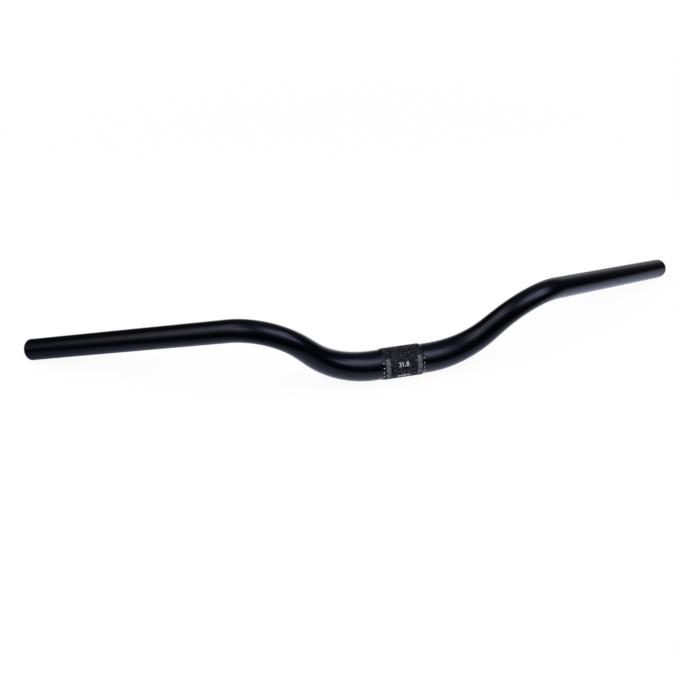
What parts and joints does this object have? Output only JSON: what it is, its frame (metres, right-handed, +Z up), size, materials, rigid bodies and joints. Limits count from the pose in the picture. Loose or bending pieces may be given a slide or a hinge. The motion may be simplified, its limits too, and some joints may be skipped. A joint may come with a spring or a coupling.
{
  "type": "bicycle handlebar",
  "caption": "Riser handlebar for a bicycle: a hollow black tube, bent up and swept back, that tapers from a raised clamp band to straight grips.",
  "frame": {"origin": "centre of the clamp band, on its axis", "axes": "+X along the clamp's axis, +Y towards the ends of the grips, +Z up from the surface the bar lies on: it rests on the underside of the clamp band and on both tube ends, with the two rises arched up between them"},
  "size_m": [0.74, 0.1373, 0.085],
  "materials": {
    "tube": "satin black anodised",
    "clamp_print": "white printed ink"
  },
  "bodies": {
    "root": {"handlebar": "tube"}
  },
  "joints": []
}
